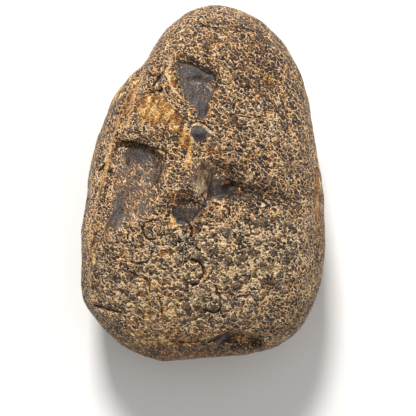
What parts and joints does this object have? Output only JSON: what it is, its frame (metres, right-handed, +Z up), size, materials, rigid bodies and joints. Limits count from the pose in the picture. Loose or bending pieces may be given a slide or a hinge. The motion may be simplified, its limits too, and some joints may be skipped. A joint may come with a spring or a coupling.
{
  "type": "petrified wood piece",
  "caption": "Water-worn, egg-shaped cobble of petrified wood with smooth chipped hollows on its broad face and a flat worn underside to rest on.",
  "frame": {"origin": "under the middle of the stone's bounding box, on the surface that it rests on", "axes": "+Z up out of the broad scarred face, +Y up the stone's length to its narrow crown, +X to the right of that face seen from above"},
  "size_m": [0.0912, 0.133, 0.0553],
  "materials": {
    "petrified_wood": "tan and rust network over charcoal brown stone, dull and worn, smoother and greyer in the hollows"
  },
  "bodies": {
    "root": {"petrified_wood": "petrified_wood"}
  },
  "joints": []
}
